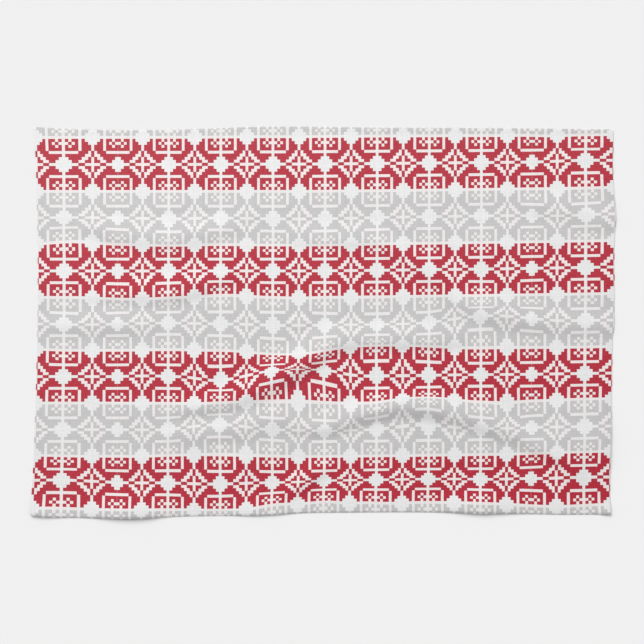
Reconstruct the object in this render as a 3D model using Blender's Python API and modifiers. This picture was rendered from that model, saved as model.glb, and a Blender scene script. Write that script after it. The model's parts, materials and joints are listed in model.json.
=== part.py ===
"""Printed cotton tea towel, lying on a flat surface with a few soft folds.

The towel is one sheet. Its outline is a slightly uneven rectangle, and its folds are soft ridges that stand
up from the surface. Metres, +Z up, with the origin under the middle of the towel's box. +X runs along the
towel's length and +Y towards its top edge.
"""

from collections import namedtuple

import bpy
import numpy as np

MM = 0.001

# Driving sizes in metres
CLOTH_THICKNESS = 1.6 * MM
HEM_THICKNESS = 2.2 * MM
HEM_WIDTH = 6.0 * MM
COLUMNS = 66
ROWS = 76

COTTON_COLOUR = (0.83, 0.80, 0.79, 1.0)
COTTON_ROUGHNESS = 0.92

# The four edges, in millimetres: a place along the edge, and how far out the cloth reaches there
EdgePoint = namedtuple("EdgePoint", "along out")
LEFT_EDGE = (
    EdgePoint(-204, -305.5),
    EdgePoint(-153, -302.3),
    EdgePoint(-94, -300.2),
    EdgePoint(-41, -298.6),
    EdgePoint(62, -297.5),
    EdgePoint(126, -298.6),
    EdgePoint(179, -300.2),
    EdgePoint(204, -302.3),
)
RIGHT_EDGE = (
    EdgePoint(-204, 301.2),
    EdgePoint(-164, 299.7),
    EdgePoint(-94, 301.8),
    EdgePoint(-21, 302.9),
    EdgePoint(27, 305.0),
    EdgePoint(62, 304.5),
    EdgePoint(126, 305.5),
    EdgePoint(156, 303.4),
    EdgePoint(204, 304.0),
)
BOTTOM_EDGE = (
    EdgePoint(-305, -202.0),
    EdgePoint(-290, -203.8),
    EdgePoint(-262, -204.1),
    EdgePoint(-226, -204.9),
    EdgePoint(-204, -205.6),
    EdgePoint(-186, -205.2),
    EdgePoint(-166, -203.7),
    EdgePoint(-110, -202.1),
    EdgePoint(-75, -202.1),
    EdgePoint(-48, -201.2),
    EdgePoint(-20, -199.3),
    EdgePoint(30, -198.5),
    EdgePoint(104, -198.3),
    EdgePoint(134, -198.7),
    EdgePoint(164, -200.3),
    EdgePoint(206, -200.1),
    EdgePoint(262, -200.8),
    EdgePoint(290, -200.7),
    EdgePoint(305, -201.5),
)
TOP_EDGE = (
    EdgePoint(-305, 204.3),
    EdgePoint(-274, 202.2),
    EdgePoint(-220, 200.9),
    EdgePoint(-128, 202.0),
    EdgePoint(-85, 203.7),
    EdgePoint(80, 203.2),
    EdgePoint(157, 203.0),
    EdgePoint(218, 202.5),
    EdgePoint(305, 201.4),
)

# A fold is a soft ridge along its crest. At its highest its feet are this many millimetres above and below
# the crest, as seen from over the towel, and nearer where it is lower. Each crest point has a place and the
# ridge's height there, also in millimetres.
Crest = namedtuple("Crest", "x y height")
Fold = namedtuple("Fold", "name foot_above foot_below crest")
FOOT_SHARE = 0.5
FOLDS = (
    Fold(
        "main ridge",
        28,
        20,
        (
            Crest(-165, -93, 0),
            Crest(-143, -90, 2.2),
            Crest(-123, -86, 3.6),
            Crest(-86, -77, 4.8),
            Crest(-55, -62.5, 5.6),
            Crest(-29, -47, 6.1),
            Crest(-10, -34.5, 6.1),
            Crest(4, -25, 5.5),
            Crest(18, -19.5, 5.0),
            Crest(40, -18, 4.5),
            Crest(80, -17.5, 4.4),
            Crest(110, -18, 3.5),
            Crest(130, -18.5, 2.3),
            Crest(156, -19, 0),
        ),
    ),
    Fold(
        "arched ridge",
        26,
        18,
        (
            Crest(-42, -113, 0),
            Crest(-20, -112, 1.8),
            Crest(-3, -110.5, 3.6),
            Crest(18, -105, 4.8),
            Crest(39, -96, 5.8),
            Crest(60, -90, 6.4),
            Crest(81, -87, 6.8),
            Crest(102, -88, 7.0),
            Crest(122, -91, 6.9),
            Crest(154, -100.5, 6.5),
            Crest(180, -109.5, 5.8),
            Crest(200, -117, 4.8),
            Crest(222, -128, 3.8),
            Crest(240, -138, 2.8),
            Crest(258, -150, 1.8),
            Crest(276, -162, 0),
        ),
    ),
    Fold(
        "lower right slope",
        55,
        54,
        (
            Crest(190, -112, 0),
            Crest(216, -116, 1.3),
            Crest(240, -124, 3.2),
            Crest(270, -130, 4.1),
            Crest(306, -132, 4.0),
        ),
    ),
    Fold(
        "low left ridge",
        20,
        19,
        (
            Crest(-175, -117, 0),
            Crest(-148, -116.5, 1.7),
            Crest(-110, -114, 2.4),
            Crest(-75, -107.5, 2.6),
            Crest(-45, -103.5, 2.5),
            Crest(-20, -105.5, 1.8),
            Crest(4, -109, 0),
        ),
    ),
    Fold(
        "left ridge",
        26,
        18,
        (
            Crest(-254, 28, 0),
            Crest(-227, 28.5, 2.6),
            Crest(-191, 30.5, 3.8),
            Crest(-164, 29.5, 4.9),
            Crest(-142, 33, 4.3),
            Crest(-121, 38.5, 3.2),
            Crest(-104, 44, 1.6),
            Crest(-86, 48.5, 0),
        ),
    ),
    Fold(
        "left edge ripple",
        20,
        17,
        (
            Crest(-306, 0, 0.8),
            Crest(-262, -2, 1.4),
            Crest(-232, -2.5, 2.4),
            Crest(-205, -2.5, 2.4),
            Crest(-182, -1, 1.8),
            Crest(-162, 2, 0),
        ),
    ),
    Fold(
        "upper left ridge",
        24,
        20,
        (
            Crest(-260, 102, 0),
            Crest(-232, 96.5, 2.4),
            Crest(-201, 91, 3.2),
            Crest(-165, 88.5, 3.5),
            Crest(-128, 93, 3.1),
            Crest(-102, 97.5, 2.4),
            Crest(-80, 100, 0),
        ),
    ),
    Fold(
        "right ripple",
        25,
        20,
        (
            Crest(-56, 90, 0),
            Crest(-14, 88, 1.7),
            Crest(18, 88, 2.5),
            Crest(49, 87, 3.0),
            Crest(68, 80.5, 2.7),
            Crest(86, 69, 2.5),
            Crest(102, 57, 2.6),
            Crest(118, 46, 2.5),
            Crest(132, 33, 2.3),
            Crest(144, 21, 2.8),
            Crest(156, 14.5, 3.6),
            Crest(172, 10.5, 4.2),
            Crest(190, 7.5, 4.6),
            Crest(217, 2.5, 3.9),
            Crest(240, 1.5, 3.3),
            Crest(269, -1.5, 2.6),
            Crest(290, -3, 2.2),
            Crest(306, -3, 2.0),
        ),
    ),
    Fold(
        "upper right ripple",
        22,
        22,
        (
            Crest(208, 126.5, 0),
            Crest(226, 121.5, 1.9),
            Crest(246, 119.5, 3.3),
            Crest(262, 116.5, 3.1),
            Crest(278, 111.5, 2.8),
            Crest(306, 109, 2.1),
        ),
    ),
    Fold(
        "small dimple",
        12,
        12,
        (
            Crest(-40, -1, 0),
            Crest(-24, -1.5, 1.5),
            Crest(-8, -1, 0),
        ),
    ),
    Fold(
        "short tuck",
        18,
        16,
        (
            Crest(-60, -188, 0),
            Crest(-45, -181, 1.2),
            Crest(-31, -173, 2.6),
            Crest(-18, -164, 3.2),
            Crest(-5, -156, 2.4),
            Crest(14, -151, 0),
        ),
    ),
    Fold(
        "bottom lift, left",
        40,
        5.5,
        (
            Crest(-252, -201.5, 0),
            Crest(-236, -202, 2.2),
            Crest(-220, -202, 4.8),
            Crest(-202, -202, 6.0),
            Crest(-184, -201.8, 4.8),
            Crest(-168, -201, 2.2),
            Crest(-154, -200.5, 0),
        ),
    ),
    Fold(
        "bottom lift, middle",
        24,
        5,
        (
            Crest(-98, -199.5, 0),
            Crest(-82, -199.5, 1.6),
            Crest(-60, -199, 2.2),
            Crest(-42, -198, 1.6),
            Crest(-26, -197, 0),
        ),
    ),
    Fold(
        "bottom lift, right",
        34,
        5.5,
        (
            Crest(112, -195.8, 0),
            Crest(132, -196, 1.8),
            Crest(150, -196.4, 3.9),
            Crest(166, -196.8, 5.0),
            Crest(182, -197, 3.6),
            Crest(202, -197.5, 1.5),
            Crest(222, -197.7, 0),
        ),
    ),
    Fold(
        "lower left corner lift",
        22,
        5.5,
        (
            Crest(-306, -199.2, 3.6),
            Crest(-292, -200.8, 3.0),
            Crest(-276, -201.4, 1.4),
            Crest(-258, -201.5, 0),
        ),
    ),
    Fold(
        "lower right corner lift",
        16,
        5,
        (
            Crest(276, -198.2, 0),
            Crest(288, -198.2, 0.9),
            Crest(296, -198.4, 2.4),
            Crest(304, -199, 3.2),
        ),
    ),
)


def smooth_through(places, values, at):
    """A cubic Hermite curve through the values, with centred slopes. Past its ends it stays level."""
    places = np.array(places, float)
    values = np.array(values, float)
    slopes = np.gradient(values, places)
    start = np.clip(np.searchsorted(places, at) - 1, 0, len(places) - 2)
    span = places[start + 1] - places[start]
    t = np.clip((at - places[start]) / span, 0.0, 1.0)
    rise = t * t * (3.0 - 2.0 * t)
    leave = t * (1.0 - t) ** 2
    arrive = t * t * (t - 1.0)
    return (
        values[start] * (1.0 - rise)
        + values[start + 1] * rise
        + span * (leave * slopes[start] + arrive * slopes[start + 1])
    )


def edge_reach(edge, along):
    """How far out an edge reaches at each place along it, in metres."""
    points = np.array(edge, float) * MM
    return smooth_through(points[:, 0], points[:, 1], along)


def bell(share):
    """1 at the middle, 0 at a share of 1 and past it, and half a cosine wave between them."""
    return 0.5 + 0.5 * np.cos(np.pi * np.minimum(np.abs(share), 1.0))


def fold_height(fold, x, y):
    """A fold's height over the flat cloth: a bell from its crest to each foot."""
    crest = np.array(fold.crest, float) * MM
    crest_y = smooth_through(crest[:, 0], crest[:, 1], x)
    height = np.maximum(smooth_through(crest[:, 0], crest[:, 2], x), 0.0)
    slant = np.interp(x, crest[:, 0], np.gradient(crest[:, 1], crest[:, 0]))
    away = (y - crest_y) / np.sqrt(1.0 + slant * slant)
    foot = np.where(away > 0.0, fold.foot_above, fold.foot_below) * MM
    foot = foot * (FOOT_SHARE + (1.0 - FOOT_SHARE) * height / crest[:, 2].max())
    reached = (x >= crest[0, 0]) & (x <= crest[-1, 0])
    return np.where(reached, height * bell(away / foot), 0.0)


def grid_lines(low, high, cells):
    """Evenly spaced lines, apart from the outer cell at each end, which is one hem wide."""
    inner = np.linspace(low + HEM_WIDTH, high - HEM_WIDTH, cells - 1)
    return np.concatenate(([low], inner, [high]))


def cloth_points(column, row):
    """The cloth's underside at each grid point: inside the four edges, and raised by the folds."""
    x_lines = grid_lines(BOTTOM_EDGE[0].along * MM, BOTTOM_EDGE[-1].along * MM, COLUMNS)
    y_lines = grid_lines(LEFT_EDGE[0].along * MM, LEFT_EDGE[-1].along * MM, ROWS)
    across = (x_lines - x_lines[0])[column] / (x_lines[-1] - x_lines[0])
    up = (y_lines - y_lines[0])[row] / (y_lines[-1] - y_lines[0])
    left = edge_reach(LEFT_EDGE, y_lines[row])
    right = edge_reach(RIGHT_EDGE, y_lines[row])
    bottom = edge_reach(BOTTOM_EDGE, x_lines[column])
    top = edge_reach(TOP_EDGE, x_lines[column])
    x = left + (right - left) * across
    y = bottom + (top - bottom) * up
    z = sum(fold_height(fold, x, y) for fold in FOLDS)
    x -= (x.min() + x.max()) / 2.0
    y -= (y.min() + y.max()) / 2.0
    return np.column_stack((x, y, z))


def cotton_material():
    material = bpy.data.materials.new("printed_cotton")
    material.use_nodes = True
    shader = material.node_tree.nodes["Principled BSDF"]
    shader.inputs["Base Color"].default_value = COTTON_COLOUR
    shader.inputs["Roughness"].default_value = COTTON_ROUGHNESS
    shader.inputs["Metallic"].default_value = 0.0
    material.diffuse_color = COTTON_COLOUR
    return material


def make_towel(collection):
    """A grid laid out as the cloth's underside, thickened upwards, a little more along its hems."""
    bpy.ops.mesh.primitive_grid_add(x_subdivisions=COLUMNS, y_subdivisions=ROWS, size=2.0)
    towel = bpy.context.object
    towel.name = "towel_cloth"
    mesh = towel.data
    mesh.name = "towel_cloth"

    flat = np.empty(len(mesh.vertices) * 3)
    mesh.vertices.foreach_get("co", flat)
    flat = flat.reshape(-1, 3)
    column = np.rint((flat[:, 0] + 1.0) / 2.0 * COLUMNS).astype(int)
    row = np.rint((flat[:, 1] + 1.0) / 2.0 * ROWS).astype(int)
    mesh.vertices.foreach_set("co", cloth_points(column, row).ravel())
    mesh.update()

    hem = towel.vertex_groups.new(name="hem")
    in_hem = (column <= 1) | (column >= COLUMNS - 1) | (row <= 1) | (row >= ROWS - 1)
    hem.add([int(i) for i in np.flatnonzero(in_hem)], 1.0, "REPLACE")

    thicken = towel.modifiers.new("thickness", "SOLIDIFY")
    thicken.thickness = HEM_THICKNESS
    thicken.offset = 1.0
    thicken.vertex_group = hem.name
    thicken.thickness_vertex_group = CLOTH_THICKNESS / HEM_THICKNESS

    mesh.materials.append(cotton_material())
    mesh.shade_smooth()
    for holder in towel.users_collection:
        holder.objects.unlink(towel)
    collection.objects.link(towel)
    return towel


def main():
    for old in list(bpy.data.objects):
        bpy.data.objects.remove(old)
    collection = bpy.data.collections.new("tea_towel")
    bpy.context.scene.collection.children.link(collection)
    make_towel(collection)


main()
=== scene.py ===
"""Printed cotton tea towel, lying flat with a few soft folds: its cloth, weave, print and light.

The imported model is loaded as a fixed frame, and the thin cloth made here stands for its one solid. Lengths
are in metres, +Z up. +X runs along the towel and +Y towards its top edge, as in the frame.
"""

import json
from collections import namedtuple
from itertools import chain

import bpy
import numpy as np
from bpy.props import FloatProperty, FloatVectorProperty, IntProperty, PointerProperty
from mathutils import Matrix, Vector

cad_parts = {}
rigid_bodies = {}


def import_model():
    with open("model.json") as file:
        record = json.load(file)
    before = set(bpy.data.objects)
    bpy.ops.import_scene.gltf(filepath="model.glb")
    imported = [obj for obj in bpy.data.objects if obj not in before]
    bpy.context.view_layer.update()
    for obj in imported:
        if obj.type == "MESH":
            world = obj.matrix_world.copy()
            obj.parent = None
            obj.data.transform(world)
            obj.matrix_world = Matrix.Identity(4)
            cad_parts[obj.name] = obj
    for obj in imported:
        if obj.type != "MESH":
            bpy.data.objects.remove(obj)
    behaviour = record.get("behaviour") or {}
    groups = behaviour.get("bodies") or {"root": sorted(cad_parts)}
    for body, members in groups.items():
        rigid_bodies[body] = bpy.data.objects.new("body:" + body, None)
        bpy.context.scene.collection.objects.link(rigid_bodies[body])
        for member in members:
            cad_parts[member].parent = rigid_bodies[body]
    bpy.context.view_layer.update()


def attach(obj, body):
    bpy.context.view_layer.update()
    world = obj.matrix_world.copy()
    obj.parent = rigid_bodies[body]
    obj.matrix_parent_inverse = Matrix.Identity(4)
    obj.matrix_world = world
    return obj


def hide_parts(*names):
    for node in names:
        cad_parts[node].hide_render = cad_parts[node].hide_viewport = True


bl_info = {
    "name": "Printed tea towel",
    "version": (1, 0, 0),
    "blender": (4, 5, 0),
    "location": "View3D > Sidebar > Tea towel",
    "description": "Makes a printed cotton tea towel that lies flat with soft folds, and a plain stage",
    "category": "Add Mesh",
}

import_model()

MM = 0.001

# The towel's four edges, in millimetres: in each row a place along the edge, and how far out the cloth
# reaches there
EdgePoint = namedtuple("EdgePoint", "along out")
LEFT_EDGE = (
    (-204, -305.5),
    (-153, -302.3),
    (-94, -300.2),
    (-41, -298.6),
    (62, -297.5),
    (126, -298.6),
    (179, -300.2),
    (204, -302.3),
)
RIGHT_EDGE = (
    (-204, 301.2),
    (-164, 299.7),
    (-94, 301.8),
    (-21, 302.9),
    (27, 305.0),
    (62, 304.5),
    (126, 305.5),
    (156, 303.4),
    (204, 304.0),
)
BOTTOM_EDGE = (
    (-305, -202.0),
    (-290, -203.8),
    (-262, -204.1),
    (-226, -204.9),
    (-204, -205.6),
    (-186, -205.2),
    (-166, -203.7),
    (-110, -202.1),
    (-75, -202.1),
    (-48, -201.2),
    (-20, -199.3),
    (30, -198.5),
    (104, -198.3),
    (134, -198.7),
    (164, -200.3),
    (206, -200.1),
    (262, -200.8),
    (290, -200.7),
    (305, -201.5),
)
TOP_EDGE = (
    (-305, 204.3),
    (-274, 202.2),
    (-220, 200.9),
    (-128, 202.0),
    (-85, 203.7),
    (80, 203.2),
    (157, 203.0),
    (218, 202.5),
    (305, 201.4),
)

# A fold is a soft ridge along its crest. At its highest its feet are this many millimetres above and below
# the crest, as seen from over the towel. Where it is lower they are nearer, down to FOOT_SHARE of that.
# Each row of a crest is a place and the ridge's height there, also in millimetres.
Crest = namedtuple("Crest", "x y height")
Fold = namedtuple("Fold", "name foot_above foot_below crest")
FOOT_SHARE = 0.5
FOLDS = (
    Fold("main ridge", 28, 20, (
        (-165, -93, 0),
        (-143, -90, 2.2),
        (-123, -86, 3.6),
        (-86, -77, 4.8),
        (-55, -62.5, 5.6),
        (-29, -47, 6.1),
        (-10, -34.5, 6.1),
        (4, -25, 5.5),
        (18, -19.5, 5.0),
        (40, -18, 4.5),
        (80, -17.5, 4.4),
        (110, -18, 3.5),
        (130, -18.5, 2.3),
        (156, -19, 0),
    )),
    Fold("arched ridge", 26, 18, (
        (-42, -113, 0),
        (-20, -112, 1.8),
        (-3, -110.5, 3.6),
        (18, -105, 4.8),
        (39, -96, 5.8),
        (60, -90, 6.4),
        (81, -87, 6.8),
        (102, -88, 7.0),
        (122, -91, 6.9),
        (154, -100.5, 6.5),
        (180, -109.5, 5.8),
        (200, -117, 4.8),
        (222, -128, 3.8),
        (240, -138, 2.8),
        (258, -150, 1.8),
        (276, -162, 0),
    )),
    Fold("lower right slope", 55, 54, (
        (190, -112, 0),
        (216, -116, 1.3),
        (240, -124, 3.2),
        (270, -130, 4.1),
        (306, -132, 4.0),
    )),
    Fold("low left ridge", 20, 19, (
        (-175, -117, 0),
        (-148, -116.5, 1.7),
        (-110, -114, 2.4),
        (-75, -107.5, 2.6),
        (-45, -103.5, 2.5),
        (-20, -105.5, 1.8),
        (4, -109, 0),
    )),
    Fold("left ridge", 26, 18, (
        (-254, 28, 0),
        (-227, 28.5, 2.6),
        (-191, 30.5, 3.8),
        (-164, 29.5, 4.9),
        (-142, 33, 4.3),
        (-121, 38.5, 3.2),
        (-104, 44, 1.6),
        (-86, 48.5, 0),
    )),
    Fold("left edge ripple", 20, 17, (
        (-306, 0, 0.8),
        (-262, -2, 1.4),
        (-232, -2.5, 2.4),
        (-205, -2.5, 2.4),
        (-182, -1, 1.8),
        (-162, 2, 0),
    )),
    Fold("upper left ridge", 24, 20, (
        (-260, 102, 0),
        (-232, 96.5, 2.4),
        (-201, 91, 3.2),
        (-165, 88.5, 3.5),
        (-128, 93, 3.1),
        (-102, 97.5, 2.4),
        (-80, 100, 0),
    )),
    Fold("right ripple", 25, 20, (
        (-56, 90, 0),
        (-14, 88, 1.7),
        (18, 88, 2.5),
        (49, 87, 3.0),
        (68, 80.5, 2.7),
        (86, 69, 2.5),
        (102, 57, 2.6),
        (118, 46, 2.5),
        (132, 33, 2.3),
        (144, 21, 2.8),
        (156, 14.5, 3.6),
        (172, 10.5, 4.2),
        (190, 7.5, 4.6),
        (217, 2.5, 3.9),
        (240, 1.5, 3.3),
        (269, -1.5, 2.6),
        (290, -3, 2.2),
        (306, -3, 2.0),
    )),
    Fold("upper right ripple", 22, 22, (
        (208, 126.5, 0),
        (226, 121.5, 1.9),
        (246, 119.5, 3.3),
        (262, 116.5, 3.1),
        (278, 111.5, 2.8),
        (306, 109, 2.1),
    )),
    Fold("small dimple", 12, 12, (
        (-40, -1, 0),
        (-24, -1.5, 1.5),
        (-8, -1, 0),
    )),
    Fold("short tuck", 18, 16, (
        (-60, -188, 0),
        (-45, -181, 1.2),
        (-31, -173, 2.6),
        (-18, -164, 3.2),
        (-5, -156, 2.4),
        (14, -151, 0),
    )),
    Fold("bottom lift, left", 40, 5.5, (
        (-252, -201.5, 0),
        (-236, -202, 2.2),
        (-220, -202, 4.8),
        (-202, -202, 6.0),
        (-184, -201.8, 4.8),
        (-168, -201, 2.2),
        (-154, -200.5, 0),
    )),
    Fold("bottom lift, middle", 24, 5, (
        (-98, -199.5, 0),
        (-82, -199.5, 1.6),
        (-60, -199, 2.2),
        (-42, -198, 1.6),
        (-26, -197, 0),
    )),
    Fold("bottom lift, right", 34, 5.5, (
        (112, -195.8, 0),
        (132, -196, 1.8),
        (150, -196.4, 3.9),
        (166, -196.8, 5.0),
        (182, -197, 3.6),
        (202, -197.5, 1.5),
        (222, -197.7, 0),
    )),
    Fold("lower left corner lift", 22, 5.5, (
        (-306, -199.2, 3.6),
        (-292, -200.8, 3.0),
        (-276, -201.4, 1.4),
        (-258, -201.5, 0),
    )),
    Fold("lower right corner lift", 16, 5, (
        (276, -198.2, 0),
        (288, -198.2, 0.9),
        (296, -198.4, 2.4),
        (304, -199, 3.2),
    )),
)

# How far up the folds carry the print round each place, and how far that reaches: half its length along
# the towel, and how far above and below the place, all in millimetres
PrintShift = namedtuple("PrintShift", "x y up half_length above below")
PRINT_SHIFTS = {
    "main ridge": (
        (-32, -53, 10.0, 64, 12, 42),
        (-14, -52, 1.5, 44, 10, 24),
        (-112, -106, 5.2, 62, 22, 42),
        (-88, -88, 1.8, 46, 18, 40),
        (62, -29, 5.2, 108, 17, 32),
        (14, -43, 2.4, 32, 15, 34),
    ),
    "above the main ridge": (
        (-34, -32, -4.6, 75, 48, 9),
        (-68, -44, -1.6, 30, 14, 8),
        (-112, -64, -3.8, 38, 30, 13),
        (48, 5, -2.6, 92, 26, 14),
        (90, -17, 0.7, 70, 8, 16),
    ),
    "below the main ridge": (
        (-62, -73, 1.2, 40, 12, 14),
        (16, -60, 1.0, 36, 12, 12),
        (-182, -56, 0.9, 44, 20, 22),
        (13, -100, -2.8, 58, 17, 21),
    ),
    "arched ridge": (
        (104, -88, 8.8, 58, 22, 38),
        (188, -94, -3.2, 38, 22, 22),
        (154, -61, 1.0, 66, 12, 16),
    ),
    "low left ridge": (
        (-92, -128, 2.0, 68, 22, 24),
        (-55, -124, 1.0, 34, 12, 16),
        (-146, -142, 1.3, 52, 20, 24),
    ),
    "right ripple": (
        (174, 8, 6.4, 84, 15, 44),
        (114, 11, -1.5, 30, 11, 13),
        (182, 43, -1.0, 60, 16, 14),
    ),
    "upper left and middle": (
        (-160, 91, -2.5, 55, 32, 22),
        (-18, 92, -1.8, 118, 38, 22),
        (-260, 90, 3.4, 54, 24, 24),
    ),
    "left ridge": (
        (-200, 30, -2.1, 64, 26, 30),
        (-250, 8, -1.5, 50, 22, 22),
        (-101, 33, 2.4, 50, 20, 28),
        (-160, -12, 1.4, 60, 28, 36),
        (-26, 23, -0.9, 30, 12, 14),
    ),
    "upper right": (
        (274, 172, 1.2, 60, 15, 26),
        (245, 122, -1.8, 55, 24, 26),
    ),
    "lower right": (
        (280, -86, 1.1, 55, 28, 26),
        (263, -153, 2.8, 72, 36, 36),
        (302, -150, 1.2, 36, 60, 60),
        (206, -168, 1.1, 36, 28, 28),
    ),
    "lower edge": (
        (104, -188, 6.2, 150, 46, 30),
        (-2, -190, 6.4, 84, 36, 30),
        (-52, -188, 2.6, 38, 12, 26),
        (26, -188, -1.4, 24, 10, 20),
        (-44, -160, -0.9, 40, 14, 14),
        (178, -190, 1.0, 60, 18, 30),
        (292, -190, 1.0, 48, 18, 30),
        (-115, -181, -1.6, 56, 38, 25),
    ),
    "lower left": (
        (-282, -164, 3.0, 90, 28, 40),
        (-300, -141, 1.0, 48, 14, 16),
        (-296, -194, 1.2, 60, 12, 30),
        (-262, -66, 0.4, 150, 60, 150),
        (-300, -34, 1.3, 36, 18, 22),
    ),
    "top edge": (
        (-270, 200, 0.9, 150, 20, 60),
        (0, 209, 2.1, 320, 20, 78),
        (240, 199, -1.1, 32, 20, 14),
    ),
}

# The printed repeat as a chart: a quarter of a medallion, which is mirrored both ways. Its columns
# run out from the medallion's middle, and its rows up from the band's middle, the top row first.
CHART = (
    "..........",
    ".#.##.#...",
    "..#.#.##..",
    ".#.##.###.",
    ".####.###.",
    ".....###.#",
    ".######..#",
    "..####..#.",
    "...##..##.",
    ".....##...",
)
HALF_REPEAT = 9
REPEAT = 2 * HALF_REPEAT

# A star takes up the columns from STAR_COLUMN outwards and the rows up to STAR_ROW. A box takes up the
# columns before STAR_COLUMN and the rows from BOX_ROW up. The bare cloth is white by the chart's lower
# left and upper right corners, where column and row add up to a number more than WHITE_START away from
# HALF_REPEAT, and a pale blush between them.
STAR_COLUMN = 5
STAR_ROW = 3
BOX_ROW = 5
WHITE_START = 4.5

# Where the chart's columns stand across the towel, in millimetres. Near its sides they are less even.
ChartColumn = namedtuple("ChartColumn", "x column")
CHART_COLUMNS = (
    (-330.0, -10.0),
    (-298.9, 0.0),
    (-287.5, 4.0),
    (-245.4, 16.4),
    (-214.0, 26.5),
    (2.2, 98.0),
    (218.5, 169.5),
    (256.2, 181.65),
    (280.8, 188.75),
    (304.3, 195.7),
    (336.0, 205.3),
)
ROW_PITCH = 3.074 * MM
MIDDLE_ROW_Y = -1.6 * MM

# At these columns the repeat is joined: a medallion lacks its middle column, and the ink is thinner
JOIN_COLUMNS = (26.5, 169.5)
JOIN_HALF_WIDTH = 0.08
JOIN_THINNING = 0.25

# How the columns follow the side edges: the share at the edge, and how far in it fades. Lower down they
# lean to the left, by COLUMN_LEAN of the way. The folds carry them to the left by SIDEWAYS_SHARE of how
# far they carry them up.
LEFT_PULL = 0.65
LEFT_FADE = 60 * MM
RIGHT_PULL = 0.8
RIGHT_FADE = 42 * MM
COLUMN_LEAN = 0.0027
SIDEWAYS_SHARE = 0.13

# The rows rise towards the right edge: by ROW_RISE from start to end, as a power of the way between them
ROW_RISE = 3.7 * MM
ROW_RISE_START = -24 * MM
ROW_RISE_END = 279 * MM
ROW_RISE_POWER = 1.3

# Distances of the grid's lines from each edge, in millimetres: close together round the turned edge
EDGE_LINES = (0, 0.05, 0.2, 0.5, 1.0, 1.6, 2.6, 3.9, 5.1, 6.0, 6.4, 8, 10.5, 13.5, 17)

# How deep the rounded rim is, and at what share of the cloth's thickness its face and underside meet in
# it. Along the lower edge the hem and its rim have a shape of their own, which fades out between the
# two distances of LOWER_HEM_FADE.
RIM_DEPTH = 1.6 * MM
LOWER_RIM_DEPTH = 3.0 * MM
RIM_MEETS = 0.5
LOWER_RIM_MEETS = 0.1
LOWER_HEM_FADE = (6 * MM, 30 * MM)

# The face eases down from the hem's height to the cloth's, from half of HEM_EASE before the hem's inner
# side to all of it past that side. The underside steps up over HEM_STEP there.
HEM_EASE = 24 * MM
HEM_STEP = 0.4 * MM
CORNER_RADIUS = 2.5 * MM

# How far the cloth stays off the surface under it
REST_CLEARANCE = 0.05 * MM

# Shallow waves all over the cloth, which die out at its edges. WAVE_SPREAD, in radians, is how far their
# headings differ.
WAVE_SEED = 7
WAVE_COUNT = 28
WAVE_SHORTEST = 16 * MM
WAVE_LONGEST = 55 * MM
WAVE_SPREAD = 0.45
WAVE_FADE = 14 * MM

# The threads wander at these scales, along and across the towel, and a slub is stretched along its thread
WANDER_SCALES = (90.0, 110.0)
SLUB_SCALE = 1.7
SLUB_STRETCH = 0.06

# How rough the printed outlines are on the face and on the reverse, in columns, and at what scale
FACE_RAGGED = 0.10
REVERSE_RAGGED = 0.6
RAGGED_SCALE = 5.0

# The ink covers a little less where the fine mottle is high, and in the gaps between the threads
MOTTLE_SCALE = 700.0
FULL_COVER = 1.10
MOTTLE_LOSS = 0.14
GAP_LOSS = 0.06

# The inks are thinned a little more towards the upper left corner, so that it looks lighter there: painted
# sheen
PAINTED_SHEEN_AT_MIDDLE = 0.5
PAINTED_SHEEN_PER_METRE_UP = 1.9
PAINTED_SHEEN_PER_METRE_RIGHT = -0.75

# How much the tone varies: by the mottle, and by RED_GRAIN more in red ink, by thread, and slowly by
# place. The stitches' dents and the hem strip by the edge are darker by painted shade, STITCH_SHADE and
# EDGE_SHADE.
GRAIN = 0.22
RED_GRAIN = 0.25
THREAD_TONE = 0.20
DRIFT_SCALE = 14.0
DRIFT_TONE = 0.02
STITCH_SHADE = 0.04
EDGE_SHADE = 0.028

STITCH_DEPTH = 0.12 * MM
GAP_ROUGHNESS = 0.94
THREAD_ROUGHNESS = 0.86

# In the baked picture the underside lies below BAKE_SPLIT and the face above it, each with a margin
BAKE_MARGIN = 0.006
BAKE_SPLIT = 0.29

# The camera stands over this place
VIEW_CENTRE = (-0.7 * MM, 0.4 * MM)

# What every colour property has
COLOUR = {"subtype": "COLOR", "size": 4, "min": 0.0, "max": 1.0}

# Node trees are laid out in rows, with these steps to the right and down
NODES_IN_ROW = 12
NODE_STEP = (190.0, -230.0)
SOCKETS = {
    "number": "NodeSocketFloat",
    "colour": "NodeSocketColor",
    "vector": "NodeSocketVector",
}


class ClothSizes(bpy.types.PropertyGroup):
    """The sizes of the towel's cloth."""

    thickness: FloatProperty(
        name="Cloth thickness",
        description="Thickness of the single cloth",
        default=0.9 * MM,
        unit="LENGTH",
    )
    hem_thickness: FloatProperty(
        name="Hem thickness",
        description="Thickness of the turned hem",
        default=1.5 * MM,
        unit="LENGTH",
    )
    lower_hem_thickness: FloatProperty(
        name="Lower hem thickness",
        description="Thickness of the turned hem along the lower edge, where it is puffed up",
        default=2.2 * MM,
        unit="LENGTH",
    )
    hem_width: FloatProperty(
        name="Hem width",
        description="Width of the turned hem",
        default=6.0 * MM,
        unit="LENGTH",
    )
    wave_height: FloatProperty(
        name="Wave height",
        description="Height of the shallow waves all over the cloth",
        default=0.22 * MM,
        unit="LENGTH",
    )
    columns: IntProperty(
        name="Columns",
        description="Grid cells along the towel, between its dense edges",
        default=176,
    )
    rows: IntProperty(
        name="Rows",
        description="Grid cells across the towel, between its dense edges",
        default=208,
    )
    flat_length: FloatProperty(
        name="Flat length",
        description="Length of the hemmed towel before it was laid down, 24 inches",
        default=0.6096,
        unit="LENGTH",
    )
    flat_width: FloatProperty(
        name="Flat width",
        description="Width of the hemmed towel before it was laid down, 16 inches",
        default=0.4064,
        unit="LENGTH",
    )


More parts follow.
